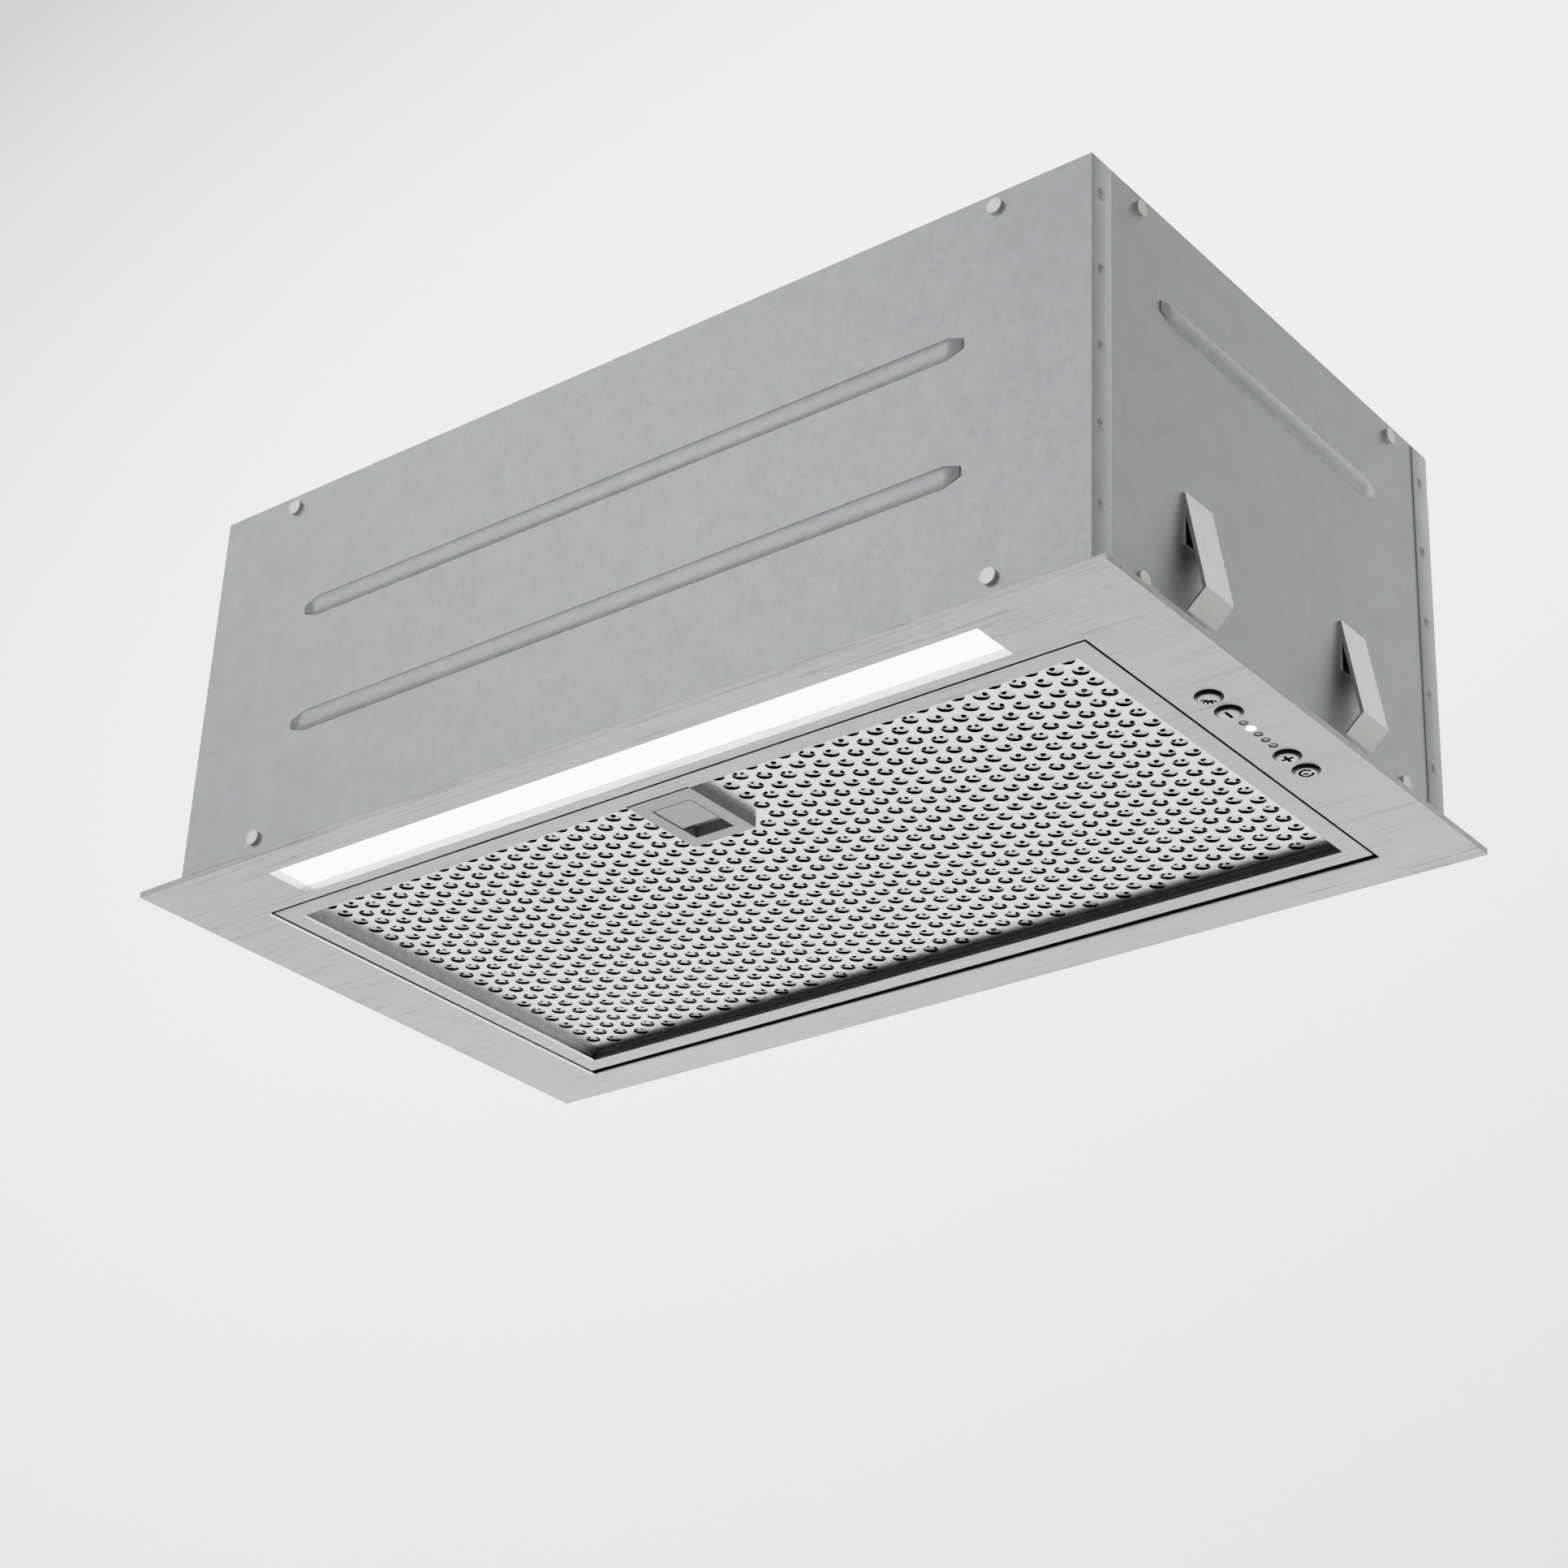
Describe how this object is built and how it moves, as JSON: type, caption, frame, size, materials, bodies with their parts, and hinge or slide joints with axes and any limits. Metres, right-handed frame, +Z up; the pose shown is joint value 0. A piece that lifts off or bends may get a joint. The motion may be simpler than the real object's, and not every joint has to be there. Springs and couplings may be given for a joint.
{
  "type": "under cabinet range hood",
  "caption": "Built-in under-cabinet range hood: steel face plate, light strip, tilting perforated grease filter with latch, push buttons, centrifugal blower in a sheet housing, round outlet.",
  "frame": {"origin": "centre of the four fixing screws, on the plane where the fixing flange meets the cabinet's underside", "axes": "+Z up towards the outlet, +X to the right seen from the front, +Y to the back"},
  "size_m": [0.52, 0.29, 0.2445],
  "materials": {
    "stainless": "brushed along the width",
    "aluminium_mesh": "satin expanded mesh",
    "galvanised": "galvanised, faint spangle",
    "white_enamel": "white reflector enamel",
    "zinc_screw": "zinc plated",
    "seal_foam": "closed cell foam",
    "diffuser": "frosted acrylic",
    "circuit_board": "solder mask",
    "black_plastic": "fine moulded texture",
    "grey_plastic": "fine moulded texture",
    "white_plastic": "fine moulded texture",
    "latch_plastic": "satin moulded",
    "lit_lens": "lit light pipe",
    "clear_lens": "smoked light pipe",
    "spring_steel": "ground",
    "motor_casing": "enamelled",
    "copper": "varnished windings",
    "rubber": "moulded rubber",
    "aluminium_can": "drawn can",
    "button_metal": "satin metallised cap"
  },
  "bodies": {
    "hood": {"face_plate": "stainless", "plate_lips": "stainless", "housing_wrap": "galvanised", "top_panel": "galvanised", "panel_skirt": "galvanised", "plenum_frame": "galvanised", "flange_seal": "seal_foam", "light_diffuser": "diffuser", "light_tray": "white_enamel", "light_board": "circuit_board", "control_carrier": "black_plastic", "control_board": "circuit_board", "tact_switches": "black_plastic", "indicator_lens_lit": "lit_lens", "indicator_lenses": "clear_lens", "latch_catch": "spring_steel", "scroll_right": "black_plastic", "scroll_left": "black_plastic", "inlet_guard": "black_plastic", "motor_casing_outer": "motor_casing", "motor_casing_inner": "motor_casing", "motor_bearings": "spring_steel", "motor_stator": "spring_steel", "motor_windings": "copper", "motor_bracket": "galvanised", "motor_grommets": "rubber", "outlet_flange": "black_plastic", "outlet_collar": "black_plastic", "damper_pin": "spring_steel", "assembly_screws": "zinc_screw", "electronics_box": "grey_plastic", "electronics_cover": "grey_plastic", "main_board": "circuit_board", "board_components": "black_plastic", "capacitor": "aluminium_can", "capacitor_clip": "spring_steel", "terminal_box": "galvanised", "terminal_cover": "galvanised", "terminal_block": "white_plastic", "cable_gland": "black_plastic", "light_driver": "white_plastic", "side_clips": "spring_steel"},
    "filter": {"filter_frame": "stainless", "filter_front_sheet": "stainless", "filter_mesh_pad": "aluminium_mesh", "filter_back_grid": "aluminium_mesh", "filter_pivot_pins": "stainless", "latch_body": "latch_plastic", "latch_spring": "spring_steel"},
    "latch": {"latch_slider": "latch_plastic"},
    "light_button": {"button_light": "button_metal"},
    "minus_button": {"button_minus": "button_metal"},
    "plus_button": {"button_plus": "button_metal"},
    "timer_button": {"button_timer": "button_metal"},
    "fan_rotor": {"impeller": "grey_plastic", "motor_rotor": "spring_steel", "motor_shaft": "spring_steel", "shaft_nut": "zinc_screw"},
    "front_flap": {"flap_front": "grey_plastic"},
    "back_flap": {"flap_back": "grey_plastic"}
  },
  "joints": [
    {"name": "filter_tilt", "type": "hinge", "parent": "hood", "child": "filter", "pos_m": [0, 0.1146, 0.0002], "axis": [1, 0, 0], "range_deg": [0, 80], "deforming": ["latch_catch"]},
    {"name": "latch_slide", "type": "slide", "parent": "filter", "child": "latch", "axis": [0, 1, 0], "range_m": [0, 0.005], "stiffness_N_per_m": 400, "springref_m": -0.003, "deforming": ["latch_spring"]},
    {"name": "light_press", "type": "slide", "parent": "hood", "child": "light_button", "axis": [0, 0, 1], "range_m": [0, 0.001], "stiffness_N_per_m": 1500, "springref_m": -0.0003},
    {"name": "minus_press", "type": "slide", "parent": "hood", "child": "minus_button", "axis": [0, 0, 1], "range_m": [0, 0.001], "stiffness_N_per_m": 1500, "springref_m": -0.0003},
    {"name": "plus_press", "type": "slide", "parent": "hood", "child": "plus_button", "axis": [0, 0, 1], "range_m": [0, 0.001], "stiffness_N_per_m": 1500, "springref_m": -0.0003},
    {"name": "timer_press", "type": "slide", "parent": "hood", "child": "timer_button", "axis": [0, 0, 1], "range_m": [0, 0.001], "stiffness_N_per_m": 1500, "springref_m": -0.0003},
    {"name": "fan_spin", "type": "hinge", "parent": "hood", "child": "fan_rotor", "pos_m": [0, -0.04, 0.11], "axis": [1, 0, 0], "continuous": true},
    {"name": "front_flap_lift", "type": "hinge", "parent": "hood", "child": "front_flap", "pos_m": [0, 0, 0.2082], "axis": [-1, 0, 0], "range_deg": [0, 75]},
    {"name": "back_flap_lift", "type": "hinge", "parent": "hood", "child": "back_flap", "pos_m": [0, 0, 0.2082], "axis": [1, 0, 0], "range_deg": [0, 75]}
  ]
}
